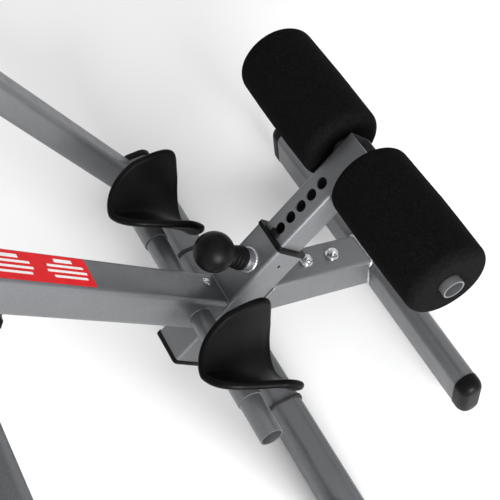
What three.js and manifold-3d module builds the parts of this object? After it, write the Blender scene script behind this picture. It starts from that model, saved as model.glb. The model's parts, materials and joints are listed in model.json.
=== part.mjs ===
// Roman chair: an inclined boom with foam ankle rollers and heel cups, on a tubular frame with hip pads.
// Millimetres, +Z up, +X to the user's side, +Y towards the foot end. The origin is on the floor,
// under the middle of the frame. The boom, the roller post and the hip pads slide and lock with pull pins.
import * as THREE from "three";
import { mergeVertices } from "three/addons/utils/BufferGeometryUtils.js";
import Module from "manifold-3d";

const wasm = await Module();
wasm.setup();

// ---------- driving dimensions ----------
const GAP = 0.3; // between pieces that touch
const ANKLE = { y: 318.2, z: 135 }; // top of the boom where it meets the roller sleeve
const BOOM_SLOPE = 42.1; // degrees, rising towards the front
const SLEEVE_SLOPE = 44.4; // degrees, rising towards the rear
const STEM_SLOPE = -16.8; // degrees, falling towards the rear

const BOOM = { size: 50, wall: 2.5, edge: 6, length: 400 };
const SLEEVE = { size: 50, wall: 2.5, edge: 4, top: 91, bottom: -107 };
const LIP = 5; // thickness of a plastic collar's lip
const POST = { size: 40, wall: 2.5, edge: 4, top: 248, bottom: -40 };
const HOLES = { pitch: 18.8, radius: 7.3, count: 12, first: -4.4 };
const PIN = { at: 52, shank: 5.6, boss: 14, bossHeight: 12, neck: 13, ball: 24.5, centre: 62 };

const ROLLER_TUBE = { at: 224.6, radius: 13, wall: 2, half: 201 };
const ROLLER = { radius: 50.2, bore: 13.5, inner: 23.5, outer: 195, round: 14 };

const CROSS = { at: 32, radius: 14, wall: 2, half: 204 };
const CUP = { at: 125, width: 46, length: 62, high: 66, low: 27, floor: 21, skin: 7 };
const SADDLE = { half: 28, radius: 15.6 };

const STEM = { start: 40, size: 50, wall: 2.5, edge: 5, bar: 171 };
const STEM_BOLTS = [59.6, 100.3];
const FOOT_BAR = { deep: 30, tall: 66, tilt: 22, wall: 2.5, half: 222, cap: 21 };

const RAIL = { size: 42, wall: 2.5, edge: 4, bottom: 190, top: 640 };
const RAIL_BOLTS = [588, 620];
const BOLT_HOLE = 4.6;
const KNOB_BOSS = { radius: 11, height: 12 };
const RAIL_PIN = { at: 290, pitch: 30, holes: 5, radius: 5.2, shank: 4.6, knob: 17 };

const FLOOR_TUBE = { size: 44, edge: 14, wall: 2.5, z: -111 };
const REAR = { y: 20, half: 314 };
const FRONT = { y: -860, half: 360 };
const CAP = { size: 48, edge: 15, length: 14, plug: 18 };
const LEG = { size: 40, edge: 8, wall: 2.5, x: 292, y: -10, z: -90, rise: 57, splay: 6.84 };
const HUB = { y: -413, z: 530, radius: 21, wall: 2.5, half: 412 };
const CROSSBAR = { y: -317, z: 382.8, size: 40, edge: 8 };
const FRONT_LEG_X = 335;
const BAND = { at: 130, width: 4 };

const MAST = { size: 42, wall: 2.5, edge: 4, top: 150, pin: 112 };
const HIP_POST = { size: 34, wall: 2.5, edge: 4, bottom: 72, top: 204, pitch: 20 };
const HIP_BAR = { size: 30, edge: 5, half: 150 };
const HIP_PAD = { x: 92, wide: 140, long: 250, thick: 58, edge: 34, plate: 4 };
const HANDLE = { x: 232, radius: 12.5, forward: 75, rise: 190, bend: 55, grip: 16.5 };

// ---------- materials ----------
const finish = (color, roughness, metalness) =>
  new THREE.MeshStandardMaterial({ color, roughness, metalness });
const silver = finish(0x9a9ca0, 0.42, 0.55);
const plastic = finish(0x141414, 0.45, 0);
const foam = finish(0x101010, 0.95, 0);
const rubber = finish(0x161616, 0.5, 0);
const zinc = finish(0xc4c6c8, 0.28, 0.9);
const vinyl = finish(0x1b1b1d, 0.55, 0);

// ---------- solids ----------
function solidOf(geometry) {
  const bare = geometry.clone();
  for (const name of Object.keys(bare.attributes)) {
    if (name !== "position") bare.deleteAttribute(name);
  }
  const merged = mergeVertices(bare, 1e-4);
  return new wasm.Manifold(
    new wasm.Mesh({
      numProp: 3,
      vertProperties: new Float32Array(merged.attributes.position.array),
      triVerts: new Uint32Array(merged.index.array),
    }),
  );
}

function geometryOf(solid) {
  const mesh = solid.getMesh();
  const places = new Float32Array(mesh.vertProperties);
  const geometry = new THREE.BufferGeometry();
  geometry.setAttribute("position", new THREE.BufferAttribute(places, 3));
  geometry.setIndex(new THREE.BufferAttribute(new Uint32Array(mesh.triVerts), 1));
  geometry.computeVertexNormals();
  return geometry;
}

// The largest body that is left after cutting, so that a sliver beyond a cutter is dropped.
function cut(base, ...tools) {
  let solid = solidOf(base);
  for (const tool of tools) solid = solid.subtract(solidOf(tool));
  const bodies = solid.decompose().sort((a, b) => b.volume() - a.volume());
  return geometryOf(bodies[0]);
}

function join(...pieces) {
  return geometryOf(pieces.map(solidOf).reduce((all, piece) => all.add(piece)));
}

// ---------- shapes ----------
function roundedRectangle(target, width, height, edge) {
  const w = width / 2;
  const h = height / 2;
  const r = Math.min(edge, w - 0.01, h - 0.01);
  target.moveTo(w, -h + r);
  target.lineTo(w, h - r);
  target.absarc(w - r, h - r, r, 0, Math.PI / 2);
  target.absarc(-w + r, h - r, r, Math.PI / 2, Math.PI);
  target.absarc(-w + r, -h + r, r, Math.PI, Math.PI * 1.5);
  target.absarc(w - r, -h + r, r, Math.PI * 1.5, Math.PI * 2);
  return target;
}

// A bar or open tube along +Z from one height to another; a wall of 0 makes it solid.
function boxTube(width, height, edge, wall, from, to, steps = 2) {
  const outline = roundedRectangle(new THREE.Shape(), width, height, edge);
  if (wall) {
    const inside = Math.max(edge - wall, 1);
    const hole = roundedRectangle(new THREE.Path(), width - 2 * wall, height - 2 * wall, inside);
    outline.holes.push(hole);
  }
  const options = { depth: to - from, bevelEnabled: false, curveSegments: steps };
  return new THREE.ExtrudeGeometry(outline, options).translate(0, 0, from);
}

function roundTube(radius, wall, from, to, steps = 9) {
  const outline = new THREE.Shape().absarc(0, 0, radius, 0, Math.PI * 2);
  if (wall) outline.holes.push(new THREE.Path().absarc(0, 0, radius - wall, 0, Math.PI * 2));
  const options = { depth: to - from, bevelEnabled: false, curveSegments: steps };
  return new THREE.ExtrudeGeometry(outline, options).translate(0, 0, from);
}

const alongX = (geometry) => geometry.rotateY(Math.PI / 2);
const alongY = (geometry) => geometry.rotateX(-Math.PI / 2);

function block(x0, x1, y0, y1, z0, z1) {
  const box = new THREE.BoxGeometry(x1 - x0, y1 - y0, z1 - z0);
  return box.translate((x0 + x1) / 2, (y0 + y1) / 2, (z0 + z1) / 2);
}

function turned(points, steps = 18) {
  const profile = points.map(([r, z]) => new THREE.Vector2(r, z));
  return new THREE.LatheGeometry(profile, steps).rotateX(Math.PI / 2);
}

// Points of an arc in a lathe profile.
function arcPoints(cr, cz, radius, from, to, steps) {
  return Array.from({ length: steps + 1 }, (_, i) => {
    const a = THREE.MathUtils.degToRad(from + ((to - from) * i) / steps);
    return [Math.max(cr + radius * Math.cos(a), 0), cz + radius * Math.sin(a)];
  });
}

// ---------- frames: +Z of each runs along a slope in the YZ plane, from +Y towards +Z ----------
function frameAt(parent, y, z, degrees) {
  const frame = new THREE.Group();
  frame.position.set(0, y, z);
  frame.rotation.x = THREE.MathUtils.degToRad(degrees - 90);
  parent.add(frame);
  return frame;
}

const chair = new THREE.Group();
const ankle = new THREE.Group();
ankle.position.set(0, ANKLE.y, ANKLE.z);
chair.add(ankle);
const boomFrame = frameAt(ankle, 0, 0, 180 - BOOM_SLOPE);
const sleeveFrame = frameAt(ankle, 0, 0, SLEEVE_SLOPE);
const stemFrame = frameAt(sleeveFrame, SLEEVE.size, STEM.start, STEM_SLOPE - SLEEVE_SLOPE + 90);
const mastFrame = frameAt(ankle, HUB.y, HUB.z, 90 - BOOM_SLOPE);
const frontLegSlope = THREE.MathUtils.radToDeg(Math.atan2(FLOOR_TUBE.z - HUB.z, FRONT.y - HUB.y));
const frontLegFrame = frameAt(ankle, HUB.y, HUB.z, frontLegSlope);
chair.updateMatrixWorld(true);

// A cutter drawn in one frame, carried into another.
function carry(geometry, from, to) {
  const into = new THREE.Matrix4().copy(to.matrixWorld).invert();
  return geometry.applyMatrix4(into.multiply(from.matrixWorld));
}

function part(name, geometry, material, frame) {
  const mesh = new THREE.Mesh(geometry, material);
  mesh.name = name;
  frame.add(mesh);
  return mesh;
}

const both = (make) => [["left", -1], ["right", 1]].forEach(([side, sign]) => make(side, sign));

// ---------- boom: sliding tube with the foot end welded to it ----------
const REACH = 400; // size of a cutting block
const boomMiddle = -BOOM.size / 2;

function mainBoom() {
  const tube = boxTube(BOOM.size, BOOM.size, BOOM.edge, BOOM.wall, -10, BOOM.length);
  tube.translate(0, boomMiddle, 0);
  const behind = carry(block(-REACH, REACH, -GAP, REACH, -REACH, REACH), sleeveFrame, boomFrame);
  const cross = alongX(roundTube(CROSS.radius + GAP, 0, -60, 60)).translate(0, boomMiddle, CROSS.at);
  const pin = alongY(roundTube(RAIL_PIN.radius, 0, 0, 20, 5)).translate(0, -BOOM.size - 10, RAIL_PIN.at);
  const bored = cut(tube, behind, cross, pin);
  part("boom_tube", join(bored, underBoom(knobBoss())), silver, boomFrame);
}

function boomBush() {
  const inner = RAIL.size + 2 * GAP;
  const outer = BOOM.size - 2 * BOOM.wall - 2 * GAP;
  const liner = boxTube(outer, outer, 3.4, 0, BOOM.length - 32, BOOM.length + 2);
  const lip = boxTube(BOOM.size + 2, BOOM.size + 2, 7, 0, BOOM.length + GAP, BOOM.length + LIP);
  const bore = boxTube(inner, inner, RAIL.edge, 0, BOOM.length - 40, BOOM.length + 10);
  part("boom_bush", cut(join(liner, lip), bore).translate(0, boomMiddle, 0), plastic, boomFrame);
}

// The tube that carries the heel cups, with a saddle ring welded round it under each cup.
function crossTube() {
  const tube = roundTube(CROSS.radius, CROSS.wall, -CROSS.half, CROSS.half);
  const rings = [-1, 1].map((sign) => {
    const ring = roundTube(SADDLE.radius, SADDLE.radius - CROSS.radius + 0.5, -SADDLE.half, SADDLE.half);
    return ring.translate(0, 0, sign * CUP.at);
  });
  const whole = alongX(join(tube, ...rings)).translate(0, boomMiddle, CROSS.at);
  part("cup_cross_tube", whole, silver, boomFrame);
}

// A point of the heel cup's middle surface: u runs across the channel from -1 to 1,
// and v from the rear to the front.
function cupPoint(u, v) {
  const side = Math.abs(u);
  const most = THREE.MathUtils.degToRad(u < 0 ? 78 : 66);
  const lobe = u < 0 ? CUP.high * (1 - 0.3 * (v - 0.15) ** 2) : CUP.low * (1 - 0.55 * v);
  const flare = u < 0 ? 1 : 1 - 0.22 * v;
  const bend = side * most;
  const rise = (1 - Math.cos(bend)) / (1 - Math.cos(most));
  const x = Math.sign(u) * CUP.width * flare * Math.sin(bend);
  const reach = CUP.length * (1 - 0.42 * side ** 4) * (v > 0 ? 1.05 : 0.72);
  const sag = v > 0 ? 12 * v * v : 5 * v * v;
  return new THREE.Vector3(x, CUP.floor + lobe * rise - sag * (1 - side), reach * v);
}

function cupNormal(u, v) {
  const e = 1e-3;
  const du = cupPoint(u + e, v).sub(cupPoint(u - e, v));
  const dv = cupPoint(u, v + e).sub(cupPoint(u, v - e));
  return dv.cross(du).normalize();
}

// A grid of points on both sides of the middle surface, closed round its rim.
function heelCup() {
  const across = 12;
  const along = 8;
  const points = [];
  for (const lift of [CUP.skin / 2, -CUP.skin / 2]) {
    for (let j = 0; j <= along; j++) {
      for (let i = 0; i <= across; i++) {
        const u = (2 * i) / across - 1 + 1e-4;
        const v = (2 * j) / along - 1 + 1e-4;
        points.push(...cupPoint(u, v).addScaledVector(cupNormal(u, v), lift).toArray());
      }
    }
  }
  const row = across + 1;
  const layer = row * (along + 1);
  const faces = [];
  const quad = (a, b, c, d) => faces.push(a, b, c, a, c, d);
  for (let j = 0; j < along; j++) {
    for (let i = 0; i < across; i++) {
      const a = j * row + i;
      quad(a, a + row, a + row + 1, a + 1);
      quad(layer + a, layer + a + 1, layer + a + row + 1, layer + a + row);
    }
  }
  for (let i = 0; i < across; i++) {
    const end = along * row + i;
    quad(i, i + 1, layer + i + 1, layer + i);
    quad(end, layer + end, layer + end + 1, end + 1);
  }
  for (let j = 0; j < along; j++) {
    const a = j * row;
    const b = a + across;
    quad(a, layer + a, layer + a + row, a + row);
    quad(b, b + row, layer + b + row, layer + b);
  }
  const shell = new THREE.BufferGeometry();
  shell.setAttribute("position", new THREE.BufferAttribute(new Float32Array(points), 3));
  shell.setIndex(faces);
  const bore = alongX(roundTube(SADDLE.radius + GAP, 0, -120, 120));
  return cut(shell, bore);
}

function heelCups() {
  both((side, sign) => {
    const cup = heelCup().translate(sign * CUP.at, boomMiddle, CROSS.at);
    part("heel_cup_" + side, cup, rubber, boomFrame);
  });
}

// ---------- sleeve that holds the roller post ----------
const sleeveMiddle = SLEEVE.size / 2;

function rollerSleeve() {
  const tube = boxTube(SLEEVE.size, SLEEVE.size, SLEEVE.edge, SLEEVE.wall, SLEEVE.bottom, SLEEVE.top);
  const pin = alongY(roundTube(PIN.shank + 0.6, 0, -60, -20, 5)).translate(0, 0, PIN.at);
  const vent = alongX(roundTube(2.4, 0, 10, 60, 3)).translate(0, -2, 70.5);
  part("roller_sleeve", cut(tube, pin, vent).translate(0, sleeveMiddle, 0), silver, sleeveFrame);
}

function sleeveCollar(name, end, sign) {
  const outer = SLEEVE.size + 3;
  const inner = SLEEVE.size - 2 * SLEEVE.wall - 0.6;
  const faces = (a, b) => [end + sign * a, end + sign * b].sort((p, q) => p - q);
  const lip = boxTube(outer, outer, 5, 0, ...faces(GAP, LIP));
  const liner = boxTube(inner, inner, 2, 0, ...faces(-28, 1));
  const bore = boxTube(POST.size + 0.8, POST.size + 0.8, POST.edge, 0, ...faces(-40, 20));
  part(name, cut(join(lip, liner), bore).translate(0, sleeveMiddle, 0), plastic, sleeveFrame);
}

// The welded ring that guides a pull pin, from a little below the surface it stands on.
function pinBoss(radius, height, bore, from) {
  const ring = [
    [bore, from],
    [radius, from],
    [radius, height * 0.55],
    [radius * 0.86, height],
    [bore, height],
    [bore, from],
  ];
  return turned(ring, 14);
}

// A pull pin drawn along +Z: tip, shank, sleeve-like neck and a handle on top.
function pullPin(name, outline, material, frame, place) {
  part(name, place(turned(outline, 18)), material, frame);
}

function postPin() {
  // The boss stands on the front face, and the pin points to the rear through it.
  const place = (g) => g.rotateX(Math.PI / 2).translate(0, -GAP, PIN.at);
  const boss = pinBoss(PIN.boss, PIN.bossHeight, PIN.shank + 0.5, 0);
  part("post_pin_boss", place(boss), silver, sleeveFrame);
  const tip = -4.4; // drawn back until it just clears the post
  const shank = [
    [0, tip],
    [PIN.shank - 1, tip],
    [PIN.shank, tip + 1],
    [PIN.shank, PIN.centre - PIN.ball + 3],
    [0, PIN.centre - PIN.ball + 3],
  ];
  pullPin("post_pin_shank", shank, zinc, sleeveFrame, place);
  const bore = PIN.shank + GAP;
  const low = PIN.bossHeight + 1;
  const join0 = Math.asin((PIN.neck - 2) / PIN.ball) * THREE.MathUtils.RAD2DEG;
  const knob = [
    [bore, low],
    [PIN.neck + 2, low],
    [PIN.neck + 2, low + 4],
    [PIN.neck - 2, low + 14],
    ...arcPoints(0, PIN.centre, PIN.ball, -90 + join0, 90, 8),
    [0, PIN.centre - PIN.ball + 4],
    [bore, PIN.centre - PIN.ball + 4],
    [bore, low],
  ];
  pullPin("post_pin_ball", knob, plastic, sleeveFrame, place);
}

// ---------- roller post, tube and foam rollers ----------
function rollerPost() {
  const tube = boxTube(POST.size, POST.size, POST.edge, POST.wall, POST.bottom, POST.top);
  const holes = [];
  for (let i = 0; i < HOLES.count - 1; i++) {
    const z = HOLES.first + i * HOLES.pitch;
    holes.push(alongY(roundTube(HOLES.radius, 0, -40, 0, 5)).translate(0, 0, z));
  }
  holes.push(alongX(roundTube(ROLLER_TUBE.radius + GAP, 0, -60, 60)).translate(0, 0, ROLLER_TUBE.at));
  part("roller_post", cut(tube, ...holes).translate(0, sleeveMiddle, 0), silver, sleeveFrame);
}

function rollers() {
  const place = (g) => g.translate(0, sleeveMiddle, ROLLER_TUBE.at);
  const { radius, wall, half } = ROLLER_TUBE;
  part("roller_tube", place(alongX(roundTube(radius, wall, -half, half))), silver, sleeveFrame);
  both((side, sign) => {
    const { bore, inner, outer, round } = ROLLER;
    const profile = [
      [bore, inner],
      ...arcPoints(ROLLER.radius - round, inner + round, round, -90, 0, 2),
      [ROLLER.radius + 1, (inner + outer) / 2],
      ...arcPoints(ROLLER.radius - round, outer - round, round, 0, 90, 2),
      [bore, outer],
      [bore, inner],
    ];
    const foamRoll = alongX(turned(profile, 22));
    if (sign < 0) foamRoll.rotateZ(Math.PI);
    part("foam_roller_" + side, place(foamRoll), foam, sleeveFrame);
  });
}

// ---------- stem and foot bar ----------
const stemMiddle = STEM.size / 2;

function stem() {
  const sleeve = block(-REACH, REACH, -REACH, SLEEVE.size + GAP, -REACH, REACH);
  const face = carry(sleeve, sleeveFrame, stemFrame);
  const bar = footBarSolid(GAP, 0);
  const bolts = STEM_BOLTS.map((z) => alongY(roundTube(BOLT_HOLE, 0, -20, 80, 4)).translate(0, 0, z));
  const { size, edge, wall } = STEM;
  const outer = boxTube(size, size, edge, wall, -60, STEM.bar + 20).translate(0, stemMiddle, 0);
  part("stem_tube", cut(outer, face, bar, ...bolts), silver, stemFrame);
  const inside = size - 2 * wall - 0.8;
  const core = boxTube(inside, inside, 2.5, 3, -60, 126).translate(0, stemMiddle, 0);
  part("stem_core", cut(core, face, ...bolts), silver, stemFrame);
}

// A bolt through the stem along its local Y: hexagonal head below, washer, nut and thread end above.
function hexBolt(length, radius) {
  const hex = (across, from, to) => new THREE.CylinderGeometry(across, across, to - from, 6)
    .translate(0, (from + to) / 2, 0);
  const shank = new THREE.CylinderGeometry(radius, radius, length + 13, 8);
  shank.translate(0, length / 2 - 1.5, 0);
  const washer = (y) => new THREE.CylinderGeometry(9, 9, 1.6, 12).translate(0, y, 0);
  const head = hex(7.4, -7, -1.2);
  const nut = hex(7.4, length + 1.2, length + 7.5);
  return join(shank, head, washer(-0.8), washer(length + 0.8), nut);
}

function stemBolts() {
  STEM_BOLTS.forEach((z, i) => {
    // Local +Y points down here, so the bolt is turned over: its nut sits on the top face.
    const bolt = hexBolt(STEM.size + 2 * GAP, 4).rotateX(Math.PI).translate(0, STEM.size + GAP, z);
    part("stem_bolt_" + (i + 1), bolt, zinc, stemFrame);
  });
}

// The bar's tall side leans back from the stem's end face, which brings it close to upright.
const placeBar = (geometry) =>
  geometry.rotateX(THREE.MathUtils.degToRad(FOOT_BAR.tilt)).translate(0, stemMiddle, STEM.bar);

function footBarSolid(grow, wall) {
  const { deep, tall, half } = FOOT_BAR;
  const bar = boxTube(deep + 2 * grow, tall + 2 * grow, deep / 2 + grow, wall, -half, half, 4);
  return placeBar(alongX(bar));
}

function footBar() {
  const { deep, tall, wall, half, cap } = FOOT_BAR;
  part("foot_bar", footBarSolid(0, wall), silver, stemFrame);
  both((side, sign) => {
    const dome = cappedEnd(deep + 1.5, tall + 1.5, deep / 2 + 0.7, half + GAP, half + cap, 0.45);
    const plug = boxTube(deep - 6, tall - 6, deep / 2 - 3, 0, half - 18, half + 1, 4);
    const whole = alongX(join(dome, plug));
    if (sign < 0) whole.rotateY(Math.PI);
    part("foot_bar_cap_" + side, placeBar(whole), plastic, stemFrame);
  });
}

// A moulded cap whose outline shrinks in steps towards its end, after a straight share of its length.
function cappedEnd(width, height, edge, from, to, straight) {
  const rings = [
    [0, straight],
    [3, (1 + straight) / 2],
    [7, 1],
  ];
  const layers = rings.map(([inset, share], i) => {
    const start = i ? from + (to - from) * rings[i - 1][1] - 0.01 : from;
    const w = width - 2 * inset;
    return boxTube(w, height - 2 * inset, edge - inset, 0, start, from + (to - from) * share, 3);
  });
  return join(...layers);
}

// ---------- inner rail, pin and head plates ----------
function rail() {
  const { size, wall, edge, bottom, top } = RAIL;
  const tube = boxTube(size, size, edge, wall, bottom, top);
  const holes = [];
  for (let i = 0; i < RAIL_PIN.holes; i++) {
    const z = RAIL_PIN.at + i * RAIL_PIN.pitch;
    holes.push(alongY(roundTube(RAIL_PIN.radius, 0, -40, 0, 4)).translate(0, 0, z));
  }
  RAIL_BOLTS.forEach((z) => holes.push(alongX(roundTube(BOLT_HOLE, 0, -60, 60, 4)).translate(0, 0, z)));
  part("boom_rail", cut(tube, ...holes).translate(0, boomMiddle, 0), silver, boomFrame);
  const inside = size - 2 * wall - 0.8;
  const plug = join(
    boxTube(inside, inside, 2, 0, top - 10, top + 1),
    boxTube(size, size, edge, 0, top + GAP, top + 4),
  );
  part("rail_plug", plug.translate(0, boomMiddle, 0), plastic, boomFrame);
}
// A pin with a flat round knob on a short neck, above a boss.
function knobPin(tip) {
  const { shank, knob } = RAIL_PIN;
  const from = KNOB_BOSS.height + 1;
  return turned([
    [0, tip],
    [shank, tip],
    [shank, from],
    [knob * 0.6, from],
    [knob * 0.55, from + 8],
    [knob * 0.92, from + 13],
    [knob, from + 17],
    [knob, from + 25],
    [knob * 0.86, from + 29],
    [0, from + 30.5],
  ]);
}

// Places a pin or boss drawn along +Z under the boom or in front of the mast, pointing in.
const underBoom = (g) => g.rotateX(Math.PI / 2).translate(0, -BOOM.size, RAIL_PIN.at);
const beforeMast = (g) => g.rotateX(Math.PI / 2).translate(0, -MAST.size / 2, MAST.pin);
const knobBoss = () => pinBoss(KNOB_BOSS.radius, KNOB_BOSS.height, RAIL_PIN.shank + 0.5, -1);

function railPin() {
  const tip = -(BOOM.size - RAIL.size) / 2 + 0.5; // drawn back until it just clears the rail
  part("boom_pin", underBoom(knobPin(tip)), plastic, boomFrame);
}

function headPlates() {
  const inFrame = new THREE.Vector3(0, HUB.y, HUB.z).applyMatrix4(boomFrame.matrix.clone().invert());
  const hub = new THREE.Vector2(-inFrame.z, inFrame.y);
  const low = new THREE.Vector2(-(RAIL_BOLTS[0] + RAIL_BOLTS[1]) / 2, boomMiddle);
  const outline = hull(low, 34, hub, 33);
  outline.holes.push(new THREE.Path().absarc(hub.x, hub.y, HUB.radius + 0.9, 0, Math.PI * 2));
  const boltHole = (z) => new THREE.Path().absarc(-z, boomMiddle, BOLT_HOLE, 0, Math.PI * 2);
  outline.holes.push(...RAIL_BOLTS.map(boltHole));
  const thick = 5;
  both((side, sign) => {
    const options = { depth: thick, bevelEnabled: false, curveSegments: 8 };
    const plate = new THREE.ExtrudeGeometry(outline, options);
    const inner = RAIL.size / 2 + GAP;
    alongX(plate).translate(sign > 0 ? inner : -inner - thick, 0, 0);
    part("head_plate_" + side, plate, silver, boomFrame);
  });
  RAIL_BOLTS.forEach((z, i) => {
    const span = RAIL.size + 2 * thick + 4 * GAP;
    const bolt = hexBolt(span, 4).rotateZ(-Math.PI / 2);
    bolt.translate(-span / 2, boomMiddle, z);
    part("rail_bolt_" + (i + 1), bolt, zinc, boomFrame);
  });
}

// The outline round two circles.
function hull(a, ra, b, rb) {
  const line = Math.atan2(b.y - a.y, b.x - a.x);
  const lean = Math.acos((ra - rb) / a.distanceTo(b));
  const shape = new THREE.Shape();
  shape.absarc(b.x, b.y, rb, line - lean, line + lean);
  shape.absarc(a.x, a.y, ra, line + lean, line - lean + Math.PI * 2);
  return shape;
}

// ---------- floor frame ----------
function floorTube(name, y, half) {
  const { size, edge, wall, z } = FLOOR_TUBE;
  const tube = alongX(boxTube(size, size, edge, wall, -half, half, 4)).translate(0, y, z);
  part(name + "_stabilizer", tube, silver, ankle);
  both((side, sign) => {
    const dome = cappedEnd(CAP.size, CAP.size, CAP.edge, half + GAP, half + CAP.length, 0.6);
    const inside = size - 2 * wall - 2 * GAP;
    const plug = boxTube(inside, inside, edge - wall, 0, half - CAP.plug, half + 1);
    const cap = alongX(join(dome, plug));
    if (sign < 0) cap.rotateY(Math.PI);
    part(name + "_cap_" + side, cap.translate(0, y, z), plastic, ankle);
  });
}

function floorBands() {
  const { size, z } = FLOOR_TUBE;
  const thickness = (CAP.size - size) / 2 - GAP;
  const end = BAND.width / 2;
  both((side, sign) => {
    const band = boxTube(CAP.size, CAP.size, CAP.edge, thickness, -end, end, 3);
    part("floor_band_" + side, alongX(band).translate(sign * BAND.at, REAR.y, z), rubber, ankle);
  });
}

function tubeEnvelope(y, z, size, edge, half) {
  return alongX(boxTube(size + 2 * GAP, size + 2 * GAP, edge, 0, -half, half, 4)).translate(0, y, z);
}

function sideLegFrame(sign) {
  const frame = frameAt(ankle, LEG.y, LEG.z, 180 - LEG.rise);
  frame.position.x = sign * LEG.x;
  const splay = new THREE.Group();
  splay.rotation.y = THREE.MathUtils.degToRad(sign * LEG.splay);
  frame.add(splay);
  chair.updateMatrixWorld(true);
  return splay;
}

const hubEnvelope = () => alongX(roundTube(HUB.radius + GAP, 0, -450, 450)).translate(0, HUB.y, HUB.z);

function sideLegs() {
  both((side, sign) => {
    const frame = sideLegFrame(sign);
    const tube = boxTube(LEG.size, LEG.size, LEG.edge, LEG.wall, -60, 760);
    const foot = tubeEnvelope(REAR.y, FLOOR_TUBE.z, FLOOR_TUBE.size, FLOOR_TUBE.edge, 500);
    const under = block(-500, 500, -500, 500, -400, FLOOR_TUBE.z - 6);
    const beyond = block(-500, 500, -100, REAR.y + 400, -400, -100).translate(0, REAR.y + 90, 60);
    const above = block(-500, 500, HUB.y - 200, HUB.y + 200, HUB.z, HUB.z + 300);
    const cutters = [foot, under, beyond, above, hubEnvelope()].map((g) => carry(g, ankle, frame));
    part("side_leg_" + side, cut(tube, ...cutters), silver, frame);
  });
}

function crossbar() {
  const { y, z, size, edge } = CROSSBAR;
  const bar = alongX(boxTube(size, size, edge, LEG.wall, -420, 420)).translate(0, y, z);
  const cutters = [-1, 1].map((sign) => {
    const outside = boxTube(LEG.size + 2 * GAP, LEG.size + 2 * GAP, LEG.edge, 0, -100, 800);
    const far = block(-REACH / 2, REACH / 2, -100, 100, 0, 760).translate(sign * REACH / 2, 0, 0);
    return [outside, far].map((g) => carry(g, sideLegFrame(sign), ankle));
  });
  part("crossbar", cut(bar, ...cutters.flat()), silver, ankle);
}

function hub() {
  const { y, z, radius, wall, half } = HUB;
  part("hub_tube", alongX(roundTube(radius, wall, -half, half)).translate(0, y, z), silver, ankle);
  both((side, sign) => {
    const bore = radius - wall - 0.4;
    const profile = [
      [0, half - 16],
      [bore, half - 16],
      [bore, half + GAP],
      [radius + 1, half + GAP],
      [radius + 1, half + 4],
      [radius - 5, half + 9],
      [0, half + 10],
    ];
    const cap = alongX(turned(profile, 16));
    if (sign < 0) cap.rotateY(Math.PI);
    part("hub_cap_" + side, cap.translate(0, y, z), plastic, ankle);
  });
}

function frontLegs() {
  both((side, sign) => {
    const reach = Math.hypot(FRONT.y - HUB.y, FLOOR_TUBE.z - HUB.z);
    const tube = boxTube(LEG.size, LEG.size, LEG.edge, LEG.wall, 0, reach);
    tube.translate(sign * FRONT_LEG_X, 0, 0);
    const foot = tubeEnvelope(FRONT.y, FLOOR_TUBE.z, FLOOR_TUBE.size, FLOOR_TUBE.edge, 500);
    const cutters = [foot, hubEnvelope()].map((g) => carry(g, ankle, frontLegFrame));
    part("front_leg_" + side, cut(tube, ...cutters), silver, frontLegFrame);
  });
}

// ---------- hip pads on their sliding post ----------
function mast() {
  const { size, wall, edge, top, pin } = MAST;
  const tube = boxTube(size, size, edge, wall, 0, top);
  const pinHole = alongY(roundTube(RAIL_PIN.radius, 0, -60, 0, 5)).translate(0, 0, pin);
  const sleeve = cut(tube, carry(hubEnvelope(), ankle, mastFrame), pinHole);
  part("mast_sleeve", join(sleeve, beforeMast(knobBoss())), silver, mastFrame);
  const inside = size - 2 * wall - 2 * GAP;
  const liner = boxTube(inside, inside, 2, 0, top - 25, top + 1);
  const lip = boxTube(size + 3, size + 3, 5, 0, top + GAP, top + LIP);
  const bore = boxTube(HIP_POST.size + 0.8, HIP_POST.size + 0.8, edge, 0, top - 40, top + 20);
  part("mast_collar", cut(join(liner, lip), bore), plastic, mastFrame);
  const tip = -(size - HIP_POST.size) / 2 + 0.5; // drawn back until it just clears the post
  part("mast_pin", beforeMast(knobPin(tip)), plastic, mastFrame);
}

function hipCarriage() {
  const { size, wall, edge, bottom, top, pitch } = HIP_POST;
  const holes = [-2, -1, 0, 1, 2].map((i) => {
    return alongY(roundTube(RAIL_PIN.radius, 0, -40, 0, 4)).translate(0, 0, MAST.pin + i * pitch);
  });
  part("hip_post", cut(boxTube(size, size, edge, wall, bottom, top), ...holes), silver, mastFrame);
  const deep = HIP_BAR.size;
  const bar = alongX(boxTube(deep, deep, HIP_BAR.edge, 2, -HIP_BAR.half, HIP_BAR.half));
  part("hip_bar", bar.translate(0, 0, top + GAP + deep / 2), silver, mastFrame);
  const plateFrom = top + deep + 2 * GAP;
  both((side, sign) => {
    const { x, wide, long, thick, plate, edge: round } = HIP_PAD;
    const board = boxTube(wide - 24, long - 30, round - 6, 0, plateFrom, plateFrom + plate);
    part("hip_plate_" + side, board.translate(sign * x, 0, 0), silver, mastFrame);
    const from = plateFrom + plate + GAP;
    const cushion = boxTube(wide, long, round, 0, from, from + thick, 5).translate(sign * x, 0, 0);
    part("hip_pad_" + side, cushion, vinyl, mastFrame);
  });
}

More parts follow.
